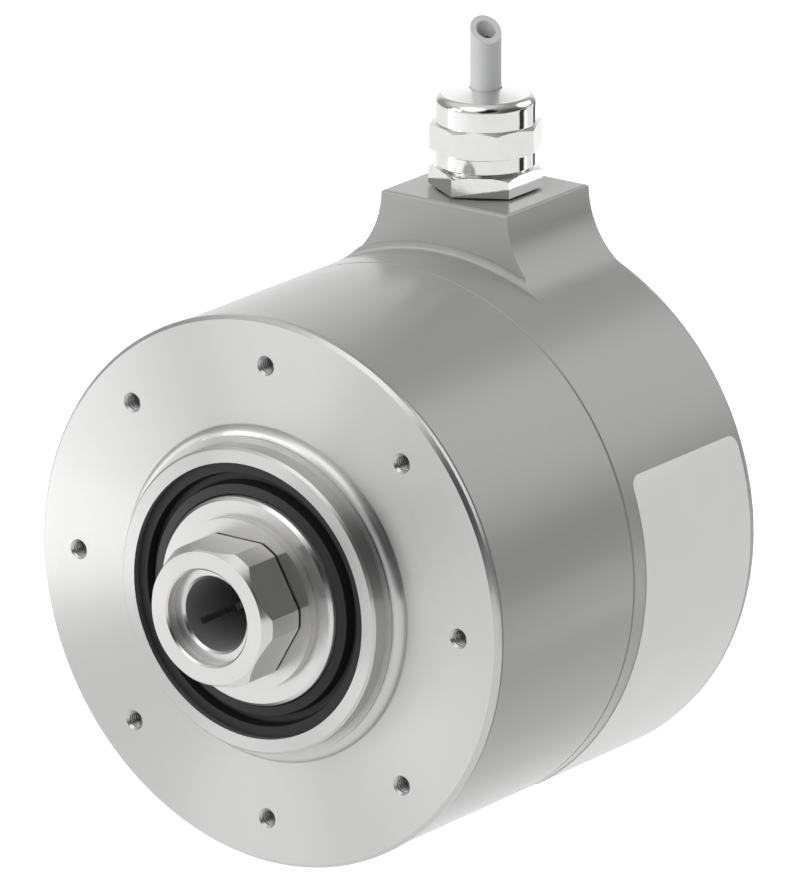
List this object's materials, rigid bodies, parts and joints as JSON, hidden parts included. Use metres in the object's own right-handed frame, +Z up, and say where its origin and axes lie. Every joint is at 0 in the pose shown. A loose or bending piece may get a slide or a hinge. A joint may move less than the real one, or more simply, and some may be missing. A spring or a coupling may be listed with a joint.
{
  "type": "incremental rotary encoder",
  "caption": "Round rotary encoder with a turned front flange, blind hollow shaft with clamping nut, painted housing and radial cable gland.",
  "frame": {"origin": "on the shaft axis at the flange's front face, the middle of the bolt circle", "axes": "+Y along the shaft axis into the housing, so the flange's face looks to -Y; +Z up, towards the cable gland; +X to the right as seen from the flange's front"},
  "size_m": [0.09, 0.0865, 0.1258],
  "materials": {
    "turned_aluminium": "fine turned, circular lathe grain",
    "housing_paint": "smooth satin grey paint",
    "turned_steel": "fine turned stainless steel",
    "bearing_steel": "ground bearing steel",
    "spring_steel": "dark phosphated spring steel",
    "screw_steel": "zinc plated steel",
    "plain_brass": "bright turned brass",
    "nickel_plate": "nickel-plated brass, bright",
    "seal_rubber": "black nitrile rubber, matt",
    "label_film": "pale matt film, bare",
    "cable_sheath": "light grey soft sheath",
    "core_sheath": "dark core insulation",
    "black_plastic": "moulded black plastic",
    "cage_plastic": "moulded polyamide",
    "board_laminate": "green board with solder mask",
    "clear_glass": "clear glass"
  },
  "bodies": {
    "root": {"flange": "turned_aluminium", "front_housing": "housing_paint", "rear_cover": "housing_paint", "flange_o_ring": "seal_rubber", "cover_o_ring": "seal_rubber", "label": "label_film", "shaft_seal": "seal_rubber", "seal_garter_spring": "spring_steel", "front_bearing_outer_race": "bearing_steel", "rear_bearing_outer_race": "bearing_steel", "bearing_outer_spacer": "turned_aluminium", "bearing_retaining_ring": "spring_steel", "board_standoffs": "plain_brass", "circuit_board": "board_laminate", "board_screws": "screw_steel", "board_chips": "black_plastic", "lead_connector": "black_plastic", "lamp_holder": "black_plastic", "condenser_lens": "clear_glass", "scanning_mask": "clear_glass", "sensor_carrier": "black_plastic", "cover_screws": "screw_steel", "gland_gasket": "seal_rubber", "gland_body": "nickel_plate", "gland_seal": "seal_rubber", "gland_cage": "black_plastic", "gland_nut": "nickel_plate", "cable_jacket": "cable_sheath", "cable_cores": "core_sheath"},
    "shaft": {"hollow_shaft": "turned_steel", "front_bearing_inner_race": "bearing_steel", "rear_bearing_inner_race": "bearing_steel", "bearing_inner_spacer": "turned_aluminium", "shaft_circlip": "spring_steel", "disc_hub": "turned_aluminium", "code_disc": "clear_glass", "disc_clamp_ring": "turned_aluminium", "disc_screws": "screw_steel"},
    "collet": {"collet": "turned_steel"},
    "clamp_nut": {"clamp_nut": "turned_steel"},
    "front_cage": {"front_bearing_cage": "cage_plastic", "front_bearing_balls": "bearing_steel"},
    "rear_cage": {"rear_bearing_cage": "cage_plastic", "rear_bearing_balls": "bearing_steel"}
  },
  "joints": [
    {"name": "shaft_spin", "type": "hinge", "parent": "root", "child": "shaft", "pos_m": [0, 0, 0], "axis": [0, -1, 0], "continuous": true},
    {"name": "front_cage_spin", "type": "hinge", "parent": "root", "child": "front_cage", "pos_m": [0, 0.0095, 0], "axis": [0, -1, 0], "continuous": true},
    {"name": "rear_cage_spin", "type": "hinge", "parent": "root", "child": "rear_cage", "pos_m": [0, 0.0305, 0], "axis": [0, -1, 0], "continuous": true},
    {"name": "collet_travel", "type": "slide", "parent": "shaft", "child": "collet", "axis": [0, -1, 0], "range_m": [0, 0.001]},
    {"name": "clamp_nut_turn", "type": "hinge", "parent": "collet", "child": "clamp_nut", "pos_m": [0, -0.0155, 0], "axis": [0, -1, 0], "range_deg": [0, 360]}
  ],
  "couplings": [
    {"joint": "front_cage_spin", "follows": "shaft_spin", "ratio": 0.45139},
    {"joint": "rear_cage_spin", "follows": "shaft_spin", "ratio": 0.45139},
    {"joint": "collet_travel", "follows": "clamp_nut_turn", "m_per_rad": 0.00015915}
  ]
}
